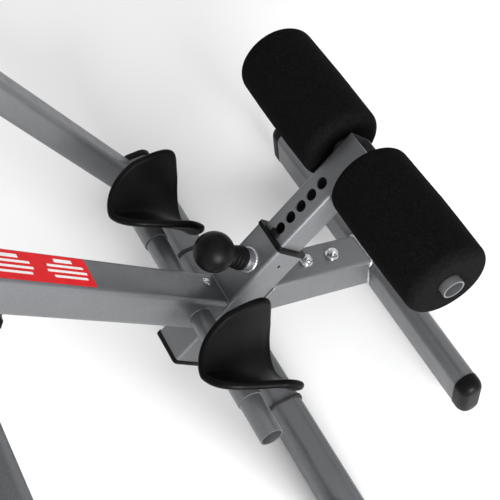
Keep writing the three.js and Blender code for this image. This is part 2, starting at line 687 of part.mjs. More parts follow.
// ---------- hand grips ----------
function handles() {
  const { x, radius, forward, rise, bend, grip } = HANDLE;
  both((side, sign) => {
    const start = new THREE.Vector3(sign * x, HUB.y, HUB.z);
    const path = new THREE.CurvePath();
    const corner = start.clone().add(new THREE.Vector3(0, -forward, 0));
    path.add(new THREE.LineCurve3(start, corner.clone().add(new THREE.Vector3(0, bend, 0))));
    const above = corner.clone().add(new THREE.Vector3(0, 0, bend));
    path.add(new THREE.QuadraticBezierCurve3(path.curves[0].v2, corner, above));
    path.add(new THREE.LineCurve3(above, corner.clone().add(new THREE.Vector3(0, 0, rise))));
    const section = new THREE.Shape().absarc(0, 0, radius, 0, Math.PI * 2);
    const rod = new THREE.ExtrudeGeometry(section, { steps: 12, curveSegments: 6, extrudePath: path });
    part("handle_" + side, cut(rod, hubEnvelope()), silver, ankle);
    const from = HUB.z + bend + 12;
    const to = HUB.z + rise;
    const bore = radius + 0.8;
    const profile = [
      [bore, from],
      [grip + 2, from],
      [grip + 2, from + 4],
      [grip, from + 7],
      [grip, to],
      ...arcPoints(grip - 5, to + 3, 5, 0, 90, 3),
      [0, to + 8],
      [0, to + GAP],
      [bore, to + GAP],
      [bore, from],
    ];
    part("hand_grip_" + side, turned(profile, 14).translate(sign * x, HUB.y - forward, 0), rubber, ankle);
  });
}

mainBoom();
boomBush();
crossTube();
heelCups();
rollerSleeve();
sleeveCollar("sleeve_collar_top", SLEEVE.top, 1);
sleeveCollar("sleeve_collar_bottom", SLEEVE.bottom, -1);
postPin();
rollerPost();
rollers();
stem();
stemBolts();
footBar();
rail();
railPin();
headPlates();
floorTube("rear", REAR.y, REAR.half);
floorTube("front", FRONT.y, FRONT.half);
floorBands();
sideLegs();
crossbar();
hub();
frontLegs();
mast();
hipCarriage();
handles();

export default chair;
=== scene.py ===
import json
import math
import random

import bmesh
import bpy
import numpy as np
from mathutils import Matrix, Vector
from mathutils.bvhtree import BVHTree


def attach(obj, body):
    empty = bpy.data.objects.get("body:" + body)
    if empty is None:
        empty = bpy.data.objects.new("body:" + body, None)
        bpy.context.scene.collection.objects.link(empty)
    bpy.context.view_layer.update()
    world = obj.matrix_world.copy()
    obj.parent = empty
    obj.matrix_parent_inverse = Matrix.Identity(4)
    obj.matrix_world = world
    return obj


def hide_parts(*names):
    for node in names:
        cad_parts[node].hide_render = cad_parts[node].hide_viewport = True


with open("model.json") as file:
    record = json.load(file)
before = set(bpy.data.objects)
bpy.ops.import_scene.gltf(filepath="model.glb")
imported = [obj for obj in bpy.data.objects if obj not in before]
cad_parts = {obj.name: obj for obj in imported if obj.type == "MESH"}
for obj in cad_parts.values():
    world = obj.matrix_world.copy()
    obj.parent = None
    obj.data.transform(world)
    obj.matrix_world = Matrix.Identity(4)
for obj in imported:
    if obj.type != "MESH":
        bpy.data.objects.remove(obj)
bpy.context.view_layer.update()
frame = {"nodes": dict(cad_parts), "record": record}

scene = bpy.context.scene
random.seed(7)
MM = 0.001
TAU = 2 * math.pi

# ---------- sizes in millimetres, the same as the solids' ----------
GAP = 0.3  # between pieces that touch
WALL = 2.5
ANKLE = (0, 318.2, 135)
BOOM, SLEEVE, POST, STEM, RAIL, MAST, HIP_POST = 50, 50, 40, 50, 42, 42, 34
BOOM_EDGE, POST_EDGE, STEM_EDGE, MAST_EDGE = 6, 4, 5, 4
POST_BOTTOM, POST_TOP = -40, 248
BOOM_SLOPE, SLEEVE_SLOPE, STEM_SLOPE = 42.1, 44.4, -16.8
PIN_AT, BALL_AT, BALL = 52, 62, 24.5
SHANK, BOSS, BOSS_HEIGHT = 5.6, 14, 12
HOLE_FIRST, HOLE_PITCH, HOLE_COUNT, HOLE_RADIUS = -4.4, 18.8, 11, 7.3
ROLLER_AT, ROLLER_RADIUS, ROLLER_INNER, ROLLER_OUTER = 224.6, 50.2, 23.5, 195
ROLLER_BORE, ROLLER_ROUND = 13.5, 13
ROLLER_TUBE, ROLLER_TUBE_HALF = 13, 201
CROSS_AT, CROSS_RADIUS, CROSS_HALF = 32, 14, 204
SADDLE_RADIUS, SADDLE_HALF = 15.6, 28
CUP_X, CUP_WIDTH, CUP_LENGTH, CUP_HIGH, CUP_LOW, CUP_FLOOR = 125, 46, 62, 66, 27, 21
CUP_SKIN, CUP_LIP = 3.5, 1.4  # half the wall, and how much the rim adds to it
STEM_START = 40
STEM_BOLTS = (59.6, 100.3)
RAIL_BOLTS = (588, 620)
BAR_AT, BAR_HALF, BAR_DEEP, BAR_TALL, BAR_TILT, BAR_CAP = 171, 222, 30, 66, 22, 21
HUB_Y, HUB_Z, HUB_RADIUS, HUB_HALF = -413, 530, 21, 412
REAR_Y, REAR_HALF = 20, 314
FRONT_Y, FRONT_HALF = -860, 360
FLOOR_Z, FLOOR_TUBE, FLOOR_EDGE = -111, 44, 14
CAP, CAP_EDGE, CAP_LENGTH = 48, 15, 14
LEG, LEG_EDGE = 40, 8
LEG_X, LEG_Y, LEG_Z, LEG_RISE, LEG_SPLAY = 292, -10, -90, 57, 6.84
CROSSBAR_Y, CROSSBAR_Z = -317, 382.8
FRONT_LEG_X = 335
RAIL_PIN_AT = 290
MAST_PIN_AT = 112
HIP_TOP, HIP_BAR = 204, 30
PLATE = 5  # the head plates beside the rail
PAD_X, PAD_WIDE, PAD_LONG, PAD_EDGE, PAD_PLATE = 92, 140, 250, 34, 4
PAD_HIGHEST = 0.0615  # metres above the pad's plate
HANDLE_X, HANDLE_FORWARD, HANDLE_RISE, HANDLE_BEND = 232, 75, 190, 55
HANDLE_RADIUS, GRIP = 12.5, 16.5


def frame_at(parent, y, z, degrees, x=0):
    turn = Matrix.Rotation(math.radians(degrees - 90), 4, "X")
    return parent @ Matrix.Translation((x * MM, y * MM, z * MM)) @ turn


ankle = Matrix.Translation(Vector(ANKLE) * MM)
boom_at = frame_at(ankle, 0, 0, 180 - BOOM_SLOPE)
sleeve_at = frame_at(ankle, 0, 0, SLEEVE_SLOPE)
stem_at = frame_at(sleeve_at, SLEEVE, STEM_START, STEM_SLOPE - SLEEVE_SLOPE + 90)
tilt = Matrix.Rotation(math.radians(BAR_TILT), 4, "X")
bar_at = stem_at @ Matrix.Translation((0, STEM / 2 * MM, BAR_AT * MM)) @ tilt
mast_at = frame_at(ankle, HUB_Y, HUB_Z, 90 - BOOM_SLOPE)
front_slope = math.degrees(math.atan2(FLOOR_Z - HUB_Z, FRONT_Y - HUB_Y))
front_leg_at = frame_at(ankle, HUB_Y, HUB_Z, front_slope)
ALONG_X = Matrix.Rotation(math.pi / 2, 4, "Y")
FORWARD = Matrix.Rotation(math.pi / 2, 4, "X")
ENDS = (("left", ALONG_X.inverted()), ("right", ALONG_X))


def shift(x, y, z):
    return Matrix.Translation((x * MM, y * MM, z * MM))


def leg_at(sign):
    splay = Matrix.Rotation(math.radians(sign * LEG_SPLAY), 4, "Y")
    return frame_at(ankle, LEG_Y, LEG_Z, 180 - LEG_RISE, sign * LEG_X) @ splay


# ---------- materials ----------
class Finish:
    """A procedural material. Object coordinates are metres in the object's own frame."""

    def __init__(self, name, colour, roughness, metallic=0.0):
        self.material = bpy.data.materials.new(name)
        self.material.use_nodes = True
        self.tree = self.material.node_tree
        self.shader = self.tree.nodes["Principled BSDF"]
        self.shader.inputs["Base Color"].default_value = (*colour, 1)
        self.shader.inputs["Roughness"].default_value = roughness
        self.shader.inputs["Metallic"].default_value = metallic
        self.coords = self.tree.nodes.new("ShaderNodeTexCoord").outputs["Object"]
        self.height = None

    def noise(self, scale, detail=3.0, stretch=None):
        where = self.coords
        if stretch:
            mapping = self.tree.nodes.new("ShaderNodeMapping")
            mapping.inputs["Scale"].default_value = stretch
            self.tree.links.new(where, mapping.inputs["Vector"])
            where = mapping.outputs["Vector"]
        texture = self.tree.nodes.new("ShaderNodeTexNoise")
        texture.inputs["Scale"].default_value = scale
        texture.inputs["Detail"].default_value = detail
        self.tree.links.new(where, texture.inputs["Vector"])
        return texture.outputs["Fac"]

    def cells(self, scale, feature="F1"):
        texture = self.tree.nodes.new("ShaderNodeTexVoronoi")
        texture.feature = feature
        texture.inputs["Scale"].default_value = scale
        self.tree.links.new(self.coords, texture.inputs["Vector"])
        return texture.outputs["Distance"]

    def ramp(self, source, stops):
        ramp = self.tree.nodes.new("ShaderNodeValToRGB")
        while len(ramp.color_ramp.elements) < len(stops):
            ramp.color_ramp.elements.new(0.5)
        for element, (place, colour) in zip(ramp.color_ramp.elements, stops):
            element.position = place
            shade = (colour,) * 3 if isinstance(colour, (int, float)) else colour
            element.color = (*shade, 1)
        self.tree.links.new(source, ramp.inputs["Fac"])
        return ramp.outputs["Color"]

    def multiply(self, a, b):
        mix = self.tree.nodes.new("ShaderNodeMix")
        mix.data_type, mix.blend_type = "RGBA", "MULTIPLY"
        mix.inputs["Factor"].default_value = 1
        self.tree.links.new(a, mix.inputs["A"])
        self.tree.links.new(b, mix.inputs["B"])
        return mix.outputs["Result"]

    def set(self, socket, source):
        self.tree.links.new(source, self.shader.inputs[socket])
        return self

    def value(self, socket, number):
        self.shader.inputs[socket].default_value = number
        return self

    def bump(self, source, depth, strength=1.0):
        """Adds relief of that depth in metres on top of any relief that is there."""
        bump = self.tree.nodes.new("ShaderNodeBump")
        bump.inputs["Distance"].default_value = depth
        bump.inputs["Strength"].default_value = strength
        self.tree.links.new(source, bump.inputs["Height"])
        if self.height:
            self.tree.links.new(self.height, bump.inputs["Normal"])
        self.height = bump.outputs["Normal"]
        return self.set("Normal", self.height)


def silver_paint():
    f = Finish("silver_paint", (0.15, 0.153, 0.16), 0.36, 0.62)
    flake = f.ramp(f.noise(1500, 2), [(0.3, (0.122, 0.125, 0.131)), (0.7, (0.19, 0.194, 0.201))])
    drift = f.ramp(f.noise(7, 4), [(0.3, 0.88), (0.7, 1.0)])
    f.set("Base Color", f.multiply(flake, drift))
    scuffs = f.noise(38, 8, (1, 3, 1))
    f.set("Roughness", f.ramp(scuffs, [(0.25, 0.31), (0.62, 0.4), (0.8, 0.52)]))
    f.bump(f.noise(420, 2), 0.00004).bump(f.noise(2600, 1), 0.00001)
    return f.material


def black_plastic():
    f = Finish("black_plastic", (0.006, 0.006, 0.007), 0.4)
    f.value("Specular IOR Level", 0.08)
    f.set("Base Color", f.ramp(f.noise(60, 5), [(0.3, 0.002), (0.7, 0.005)]))
    f.set("Roughness", f.ramp(f.noise(35, 6), [(0.3, 0.32), (0.75, 0.5)]))
    f.bump(f.noise(900, 3), 0.00005)
    return f.material


def roller_foam():
    f = Finish("roller_foam", (0.006, 0.006, 0.007), 0.92)
    pores = f.ramp(f.cells(620), [(0.1, 0.002), (0.7, 0.0065)])
    mottle = f.ramp(f.noise(260, 5), [(0.35, 0.55), (0.75, 1.0)])
    f.set("Base Color", f.multiply(pores, mottle))
    f.value("Specular IOR Level", 0.04)
    f.bump(f.noise(320, 4), 0.0006).bump(f.cells(700), 0.0003)
    return f.material


def moulded_rubber():
    f = Finish("moulded_rubber", (0.005, 0.005, 0.0055), 0.36)
    f.value("Specular IOR Level", 0.06)
    f.set("Base Color", f.ramp(f.noise(24, 5), [(0.3, 0.0015), (0.75, 0.004)]))
    f.set("Roughness", f.ramp(f.noise(46, 6), [(0.25, 0.3), (0.75, 0.44)]))
    f.bump(f.noise(700, 3), 0.00008).bump(f.noise(120, 3), 0.00012)
    return f.material


def grip_rubber():
    f = Finish("grip_rubber", (0.012, 0.012, 0.012), 0.7)
    f.set("Base Color", f.ramp(f.noise(80, 5), [(0.3, 0.009), (0.7, 0.018)]))
    f.set("Roughness", f.ramp(f.noise(50, 5), [(0.3, 0.6), (0.75, 0.8)]))
    f.bump(f.cells(900), 0.0001)
    return f.material


def vinyl_pad():
    f = Finish("vinyl_pad", (0.014, 0.014, 0.015), 0.48)
    grain = f.cells(520, "DISTANCE_TO_EDGE")
    tone = f.ramp(f.noise(12, 4), [(0.3, 0.007), (0.7, 0.013)])
    # The grain's creases are sunk by the bump and also drawn darker in the base colour: painted shade
    # in the creases.
    crease_depth_and_shade = f.ramp(grain, [(0.0, 0.55), (0.12, 1.0)])
    f.set("Base Color", f.multiply(tone, crease_depth_and_shade))
    f.set("Roughness", f.ramp(f.noise(30, 6), [(0.3, 0.42), (0.75, 0.56)]))
    f.value("Sheen Weight", 0.03)
    f.value("Specular IOR Level", 0.25)
    f.bump(crease_depth_and_shade, 0.00018).bump(f.noise(1800, 3), 0.00005)
    return f.material


def zinc_steel():
    f = Finish("zinc_steel", (0.62, 0.63, 0.65), 0.28, 1.0)
    streaks = f.noise(300, 4, (1, 1, 0.15))
    f.set("Base Color", f.ramp(streaks, [(0.3, (0.5, 0.51, 0.53)), (0.7, (0.76, 0.77, 0.78))]))
    f.set("Roughness", f.ramp(f.noise(180, 5), [(0.3, 0.2), (0.75, 0.38)]))
    f.bump(f.noise(900, 3), 0.00003)
    return f.material


def weld_steel():
    f = Finish("weld_steel", (0.55, 0.56, 0.58), 0.34, 0.85)
    f.set("Base Color", f.ramp(f.noise(240, 4), [(0.3, (0.42, 0.43, 0.45)), (0.7, (0.66, 0.67, 0.69))]))
    f.set("Roughness", f.ramp(f.noise(160, 4), [(0.3, 0.26), (0.75, 0.46)]))
    f.bump(f.noise(500, 4), 0.00015)
    return f.material


def label_red():
    f = Finish("label_red", (0.65, 0.004, 0.008), 0.32)
    f.value("Specular IOR Level", 0.15)
    f.set("Base Color", f.ramp(f.noise(90, 4), [(0.3, (0.6, 0.003, 0.006)), (0.7, (0.7, 0.006, 0.01))]))
    f.set("Roughness", f.ramp(f.noise(50, 4), [(0.3, 0.28), (0.75, 0.4)]))
    f.bump(f.noise(300, 3), 0.00003)
    return f.material


def label_white():
    f = Finish("label_white", (0.85, 0.84, 0.83), 0.36)
    f.set("Base Color", f.ramp(f.noise(400, 3), [(0.3, (0.74, 0.72, 0.71)), (0.7, (0.9, 0.89, 0.88))]))
    f.bump(f.noise(300, 3), 0.00002)
    return f.material


def thread_grey():
    f = Finish("thread_grey", (0.03, 0.03, 0.032), 0.7)
    f.set("Base Color", f.ramp(f.noise(1600, 3), [(0.3, 0.016), (0.7, 0.045)]))
    f.bump(f.noise(2400, 3), 0.00008)
    return f.material


PAINT = {
    "silver_paint": silver_paint(),
    "black_plastic": black_plastic(),
    "roller_foam": roller_foam(),
    "moulded_rubber": moulded_rubber(),
    "grip_rubber": grip_rubber(),
    "vinyl_pad": vinyl_pad(),
    "zinc_steel": zinc_steel(),
    "label_red": label_red(),
}
WELD = weld_steel()
BARS = label_white()
THREAD = thread_grey()

SLOT = {p["node"]: p["material_slot"] for p in frame["record"]["subparts"]}
BODY = {n: b for b, ns in frame["record"]["behaviour"]["bodies"].items() for n in ns}


# ---------- meshes: points are millimetres in a frame ----------
def build(name, shape, at, angle=35):
    verts, faces = shape
    mesh = bpy.data.meshes.new(name)
    mesh.from_pydata([at @ (Vector(v) * MM) for v in verts], [], faces)
    bm = bmesh.new()
    bm.from_mesh(mesh)
    bmesh.ops.remove_doubles(bm, verts=bm.verts, dist=2e-7)
    bmesh.ops.recalc_face_normals(bm, faces=bm.faces)
    bm.to_mesh(mesh)
    bm.free()
    for polygon in mesh.polygons:
        polygon.use_smooth = True
    mesh.set_sharp_from_angle(angle=math.radians(angle))
    obj = bpy.data.objects.new(name, mesh)
    scene.collection.objects.link(obj)
    return obj


def stand_for(obj, *nodes):
    """obj replaces those nodes, with the slot and the body of the first."""
    obj.data.materials.clear()
    obj.data.materials.append(PAINT[SLOT[nodes[0]]])
    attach(obj, BODY[nodes[0]])
    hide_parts(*nodes)
    return obj


def detail(obj, body, material, slot=None):
    obj.data.materials.append(material)
    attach(obj, body)
    return obj if slot else obj


def merged(*shapes):
    verts, faces = [], []
    for v, f in shapes:
        faces += [tuple(i + len(verts) for i in face) for face in f]
        verts += v
    return verts, faces


def moved(shape, matrix):
    """A shape in millimetres, moved by a matrix whose shift is in metres."""
    verts, faces = shape
    return [tuple((matrix @ (Vector(v) * MM)) / MM) for v in verts], faces


def lathe(profile, steps=72, closed=True):
    n = len(profile)
    verts = []
    for k in range(steps):
        a = TAU * k / steps
        verts += [(r * math.cos(a), r * math.sin(a), z) for r, z in profile]
    faces = []
    for k in range(steps):
        m = (k + 1) % steps
        for i in range(n if closed else n - 1):
            j = (i + 1) % n
            faces.append((k * n + i, m * n + i, m * n + j, k * n + j))
    return verts, faces


def loft(rings, loop=False):
    n = len(rings[0])
    count = len(rings)
    faces = []
    for r in range(count if loop else count - 1):
        s = (r + 1) % count
        faces += [(r * n + i, r * n + (i + 1) % n, s * n + (i + 1) % n, s * n + i) for i in range(n)]
    if not loop:
        faces.append(tuple(reversed(range(n))))
        faces.append(tuple((count - 1) * n + i for i in range(n)))
    return [p for ring in rings for p in ring], faces


def fillet(points, radius, steps=4, closed=True):
    """A polygon's corners rounded, each by no more than its shorter side allows."""
    out = []
    n = len(points)
    for i, p in enumerate(points):
        if not closed and i in (0, n - 1):
            out.append(p)
            continue
        p, a, b = Vector(p), Vector(points[i - 1]), Vector(points[(i + 1) % n])
        r = min(radius, (a - p).length * 0.48, (b - p).length * 0.48)
        start, end = p + (a - p).normalized() * r, p + (b - p).normalized() * r
        for k in range(steps + 1):
            t = k / steps
            out.append(tuple(start * (1 - t) ** 2 + p * 2 * t * (1 - t) + end * t * t))
    return out


def outline(width, height, edge, steps=6):
    w, h = width / 2, height / 2
    r = min(edge, w - 0.01, h - 0.01)
    points = []
    corners = ((w - r, h - r, 0), (r - w, h - r, 90), (r - w, r - h, 180), (w - r, r - h, 270))
    for cx, cy, first in corners:
        for k in range(steps + 1):
            a = math.radians(first + 90 * k / steps)
            points.append((cx + r * math.cos(a), cy + r * math.sin(a)))
    return points


def ring(width, height, edge, z, steps=6):
    return [(x, y, z) for x, y in outline(width, height, edge, steps)]


def box_tube(width, height, edge, wall, start, end, steps=6):
    """An open tube with softened cut edges."""
    inner = (width - 2 * wall, height - 2 * wall, max(edge - wall, 1))
    soft = 0.4
    rings = [
        ring(width - 2 * soft, height - 2 * soft, edge - soft, start, steps),
        ring(width, height, edge, start + soft, steps),
        ring(width, height, edge, end - soft, steps),
        ring(width - 2 * soft, height - 2 * soft, edge - soft, end, steps),
        ring(*inner, end, steps),
        ring(*inner, start, steps),
    ]
    return loft(rings, loop=True)


def round_tube(radius, wall, start, end, steps=72):
    corners = [(radius, start), (radius, end), (radius - wall, end), (radius - wall, start)]
    return lathe(fillet(corners, 0.5, 2), steps)


def arc(cr, cz, radius, start, end, steps=10):
    points = []
    for k in range(steps + 1):
        a = math.radians(start + (end - start) * k / steps)
        points.append((max(cr + radius * math.cos(a), 0), cz + radius * math.sin(a)))
    return points


def sweep(path, radius, sides=10, closed=True):
    """A tube along a line of points; radius is a number or one for each point."""
    n = len(path)
    points = [Vector(p) for p in path]
    radii = radius if isinstance(radius, list) else [radius] * n
    normal = None
    rings = []
    for i, p in enumerate(points):
        before = points[i - 1] if closed or i else p
        after = points[(i + 1) % n] if closed or i < n - 1 else p
        tangent = (after - before).normalized()
        if normal is None:
            normal = tangent.orthogonal().normalized()
        normal = (normal - tangent * normal.dot(tangent)).normalized()
        other = tangent.cross(normal)
        turns = [TAU * k / sides for k in range(sides)]
        around = [normal * math.cos(a) + other * math.sin(a) for a in turns]
        rings.append([tuple(p + way * radii[i]) for way in around])
    return loft(rings, loop=closed)


def resampled(path, step, closed=True):
    points = [Vector(p) for p in path]
    if closed:
        points.append(points[0])
    lengths = [0.0]
    for a, b in zip(points, points[1:]):
        lengths.append(lengths[-1] + (b - a).length)
    count = max(8, round(lengths[-1] / step))
    out = []
    j = 0
    for k in range(count if closed else count + 1):
        s = lengths[-1] * k / count
        while j < len(lengths) - 2 and lengths[j + 1] < s:
            j += 1
        span = max(lengths[j + 1] - lengths[j], 1e-9)
        out.append(points[j].lerp(points[j + 1], (s - lengths[j]) / span))
    return out, lengths[-1] / count


def carved(obj, cutter):
    """obj with the cutter's shape taken out of it."""
    knife = build("knife", cutter[0], cutter[1])
    modifier = obj.modifiers.new("carve", "BOOLEAN")
    modifier.object = knife
    modifier.solver = "EXACT"
    made = bpy.data.meshes.new_from_object(obj.evaluated_get(bpy.context.evaluated_depsgraph_get()))
    obj.modifiers.clear()
    obj.data = made
    for polygon in made.polygons:
        polygon.use_smooth = True
    made.set_sharp_from_angle(angle=math.radians(30))
    bpy.data.objects.remove(knife)
    return obj


# ---------- carried-over solids: welded vertices and smooth shading up to an angle ----------
SMOOTH_UP_TO = 50  # degrees


def smoothing():
    tree = bpy.data.node_groups.new("smooth_by_angle", "GeometryNodeTree")
    tree.interface.new_socket("Geometry", in_out="INPUT", socket_type="NodeSocketGeometry")
    tree.interface.new_socket("Geometry", in_out="OUTPUT", socket_type="NodeSocketGeometry")
    new, link = tree.nodes.new, tree.links.new
    start, end = new("NodeGroupInput"), new("NodeGroupOutput")
    bare = new("GeometryNodeRemoveAttribute")
    bare.inputs["Name"].default_value = "custom_normal"
    weld = new("GeometryNodeMergeByDistance")
    weld.inputs["Distance"].default_value = 2e-6
    faces = new("GeometryNodeSetShadeSmooth")
    faces.domain = "FACE"
    faces.inputs["Shade Smooth"].default_value = True
    edges = new("GeometryNodeSetShadeSmooth")
    edges.domain = "EDGE"
    edges.inputs["Shade Smooth"].default_value = False
    angle = new("GeometryNodeInputMeshEdgeAngle")
    sharp = new("FunctionNodeCompare")
    sharp.data_type, sharp.operation = "FLOAT", "GREATER_THAN"
    sharp.inputs["B"].default_value = math.radians(SMOOTH_UP_TO)
    link(start.outputs[0], bare.inputs["Geometry"])
    link(bare.outputs[0], weld.inputs["Geometry"])
    link(weld.outputs[0], faces.inputs["Geometry"])
    link(faces.outputs[0], edges.inputs["Geometry"])
    link(angle.outputs["Unsigned Angle"], sharp.inputs["A"])
    link(sharp.outputs[0], edges.inputs["Selection"])
    link(edges.outputs[0], end.inputs[0])
    return tree


SMOOTH = smoothing()
for name, node in frame["nodes"].items():
    node.data.materials.clear()
    node.data.materials.append(PAINT[SLOT[name]])
    for polygon in node.data.polygons:
        polygon.use_smooth = True
    node.modifiers.new("smooth", "NODES").node_group = SMOOTH

# ---------- foam rollers ----------
def foam_roller(side, sign):
    """A slightly barrelled foam sleeve, a little uneven all over."""
    profile = [
        (ROLLER_BORE, ROLLER_INNER + 3),
        (20, ROLLER_INNER + 0.6),
        *arc(ROLLER_RADIUS - ROLLER_ROUND, ROLLER_INNER + ROLLER_ROUND, ROLLER_ROUND, -84, 0, 10),
        (ROLLER_RADIUS + 0.7, 75),
        (ROLLER_RADIUS + 1, 108),
        (ROLLER_RADIUS + 0.7, 145),
        *arc(ROLLER_RADIUS - ROLLER_ROUND, ROLLER_OUTER - ROLLER_ROUND, ROLLER_ROUND, 0, 84, 10),
        (20, ROLLER_OUTER - 0.6),
        (ROLLER_BORE, ROLLER_OUTER - 3),
    ]
    verts, faces = lathe(profile, 128)
    soft = []
    for x, y, z in verts:
        a = math.atan2(y, x)
        wave = 0.3 * math.sin(3 * a + 0.04 * z) + 0.2 * math.sin(5 * a - 0.07 * z + 1)
        k = 1 + wave * 0.01
        soft.append((x * k, y * k, z))
    at = sleeve_at @ shift(0, SLEEVE / 2, ROLLER_AT) @ (ALONG_X if sign > 0 else ALONG_X.inverted())
    name = "foam_roller_" + side
    roller = stand_for(build(name + "_fine", (soft, faces), at, 60), name)


# ---------- heel cups ----------
def cup_point(u, v):
    """The cup's middle surface: u runs across the channel and v from the rear to the front."""
    side = abs(u)
    lobe = CUP_HIGH * (1 - 0.3 * (v - 0.15) ** 2) if u < 0 else CUP_LOW * (1 - 0.55 * v)
    flare = 1 if u < 0 else 1 - 0.22 * v
    most = math.radians(78 if u < 0 else 66)
    bend = side * most
    rise = (1 - math.cos(bend)) / (1 - math.cos(most))
    x = math.copysign(CUP_WIDTH * flare * math.sin(bend), u)
    reach = CUP_LENGTH * (1 - 0.42 * side**4) * (1.05 if v > 0 else 0.72)
    sag = (12 if v > 0 else 5) * v * v
    return Vector((x, CUP_FLOOR + lobe * rise - sag * (1 - side), reach * v))


def cup_normal(u, v):
    e = 1e-3
    du = cup_point(u + e, v) - cup_point(u - e, v)
    dv = cup_point(u, v + e) - cup_point(u, v - e)
    return dv.cross(du).normalized()


def heel_cup(side, sign):
    """A moulded shell with a thick rolled lip round its whole rim."""
    across, along, turns = 44, 36, 8
    rim = []
    grid = {}
    for j in range(along + 1):
        for i in range(across + 1):
            # the square's corners are drawn in, so that the rim is one round line
            s, t = 2 * i / across - 1, 2 * j / along - 1
            u = s * math.sqrt(1 - 0.30 * t * t) + 1e-4
            v = t * math.sqrt(1 - 0.30 * s * s) + 1e-4
            edge = max(abs(s), abs(t))
            half = CUP_SKIN + CUP_LIP * max(0, (edge - 0.72) / 0.28) ** 2
            grid[i, j] = (cup_point(u, v), cup_normal(u, v), half)
    verts, index = [], {}
    for layer in (1, -1):
        for key, (p, n, half) in grid.items():
            index[layer, key] = len(verts)
            verts.append(tuple(p + n * half * layer))
    faces = []
    for layer in (1, -1):
        for j in range(along):
            for i in range(across):
                quad = [index[layer, k] for k in ((i, j), (i + 1, j), (i + 1, j + 1), (i, j + 1))]
                faces.append(tuple(quad if layer > 0 else reversed(quad)))
    rim += [(i, 0) for i in range(across)]
    rim += [(across, j) for j in range(along)]
    rim += [(i, along) for i in range(across, 0, -1)]
    rim += [(0, j) for j in range(along, 0, -1)]
    columns = []
    for k, key in enumerate(rim):
        p, n, half = grid[key]
        tangent = (grid[rim[(k + 1) % len(rim)]][0] - grid[rim[k - 1]][0]).normalized()
        out = tangent.cross(n).normalized()
        i, j = key
        inner = grid[min(max(i, 1), across - 1), min(max(j, 1), along - 1)][0]
        if out.dot(p - inner) < 0:
            out = -out
        column = [index[1, key]]
        for step in range(1, turns):
            a = math.pi * step / turns
            column.append(len(verts))
            verts.append(tuple(p + n * half * math.cos(a) + out * half * math.sin(a)))
        column.append(index[-1, key])
        columns.append(column)
    for a, b in zip(columns, columns[1:] + columns[:1]):
        faces += [(a[i], b[i], b[i + 1], a[i + 1]) for i in range(turns)]
    at = boom_at @ shift(sign * CUP_X, -BOOM / 2, CROSS_AT)
    cup = build("heel_cup_" + side + "_fine", (verts, faces), at, 70)
    cup.modifiers.new("round", "SUBSURF").render_levels = 1
    stand_for(cup, "heel_cup_" + side)


def cross_tube():
    saddles = []
    for sign in (-1, 1):
        saddle = round_tube(SADDLE_RADIUS, 2, -SADDLE_HALF, SADDLE_HALF)
        saddles.append(moved(saddle, shift(0, 0, sign * CUP_X)))
    tube = merged(round_tube(CROSS_RADIUS, 2, -CROSS_HALF, CROSS_HALF), *saddles)
    at = boom_at @ shift(0, -BOOM / 2, CROSS_AT) @ ALONG_X
    stand_for(build("cross_tube_fine", tube, at), "cup_cross_tube")


# ---------- pull pins ----------
def post_pin():
    at = sleeve_at @ shift(0, -GAP, PIN_AT) @ FORWARD
    bore, low = SHANK + 0.5, BOSS_HEIGHT + 1
    boss = [(bore, 0), (BOSS, 0), (BOSS, 7), (12.6, 11.2), (11.6, BOSS_HEIGHT), (bore, BOSS_HEIGHT)]
    stand_for(build("post_boss_fine", lathe(fillet(boss, 0.8, 3)), at), "post_pin_boss")
    tip, top = -4.4, BALL_AT - BALL + 3
    shank = [(0, tip), (SHANK - 1, tip), (SHANK, tip + 1), (SHANK, top), (0, top)]
    stand_for(build("post_shank_fine", lathe(shank, 48, False), at), "post_pin_shank")
    start = math.degrees(math.asin(11 / BALL))
    knob = [
        (SHANK + GAP, low),
        *fillet([(14.4, low), (15, 13.6), (15, 17), (12.6, 18.6)], 0.6, 2, False),
        *fillet([(12.4, 19.4), (14.2, 20.4), (14.2, 23.6), (11.8, 24.8)], 0.8, 3, False),
        *fillet([(11.6, 25.8), (13.4, 26.8), (13.4, 30), (11.2, 31.2)], 0.8, 3, False),
        *fillet([(11, 32.2), (12.6, 33.2), (12.6, 36.4), (11, 37.8)], 0.8, 3, False),
        *arc(0, BALL_AT, BALL, start - 90, 90, 26),
    ]
    knob += [(0, top + 1), (SHANK + GAP, top + 1)]
    stand_for(build("post_ball_fine", lathe(knob, 80), at, 40), "post_pin_ball")


def fluted_knob(name, node, at, tip):
    """A round handle with a scalloped edge on a short neck."""
    profile = [(0, tip), (4.6, tip), (4.6, 13), (10.2, 13), (9.4, 21), (15.6, 26)]
    profile += [*arc(15.4, 31.4, 1.6, -60, 0, 3), *arc(14.2, 38.6, 3, 0, 80, 5), (8, 42.8), (0, 43.2)]
    verts, faces = lathe(profile, 120, False)
    shaped = []
    for x, y, z in verts:
        r = math.hypot(x, y)
        a = math.atan2(y, x)
        k = 1 - 0.09 * max(0, math.cos(9 * a)) ** 3 * min(1, max(0, (r - 11) / 4))
        shaped.append((x * k, y * k, z))
    stand_for(build(name, (shaped, faces), at, 40), node)


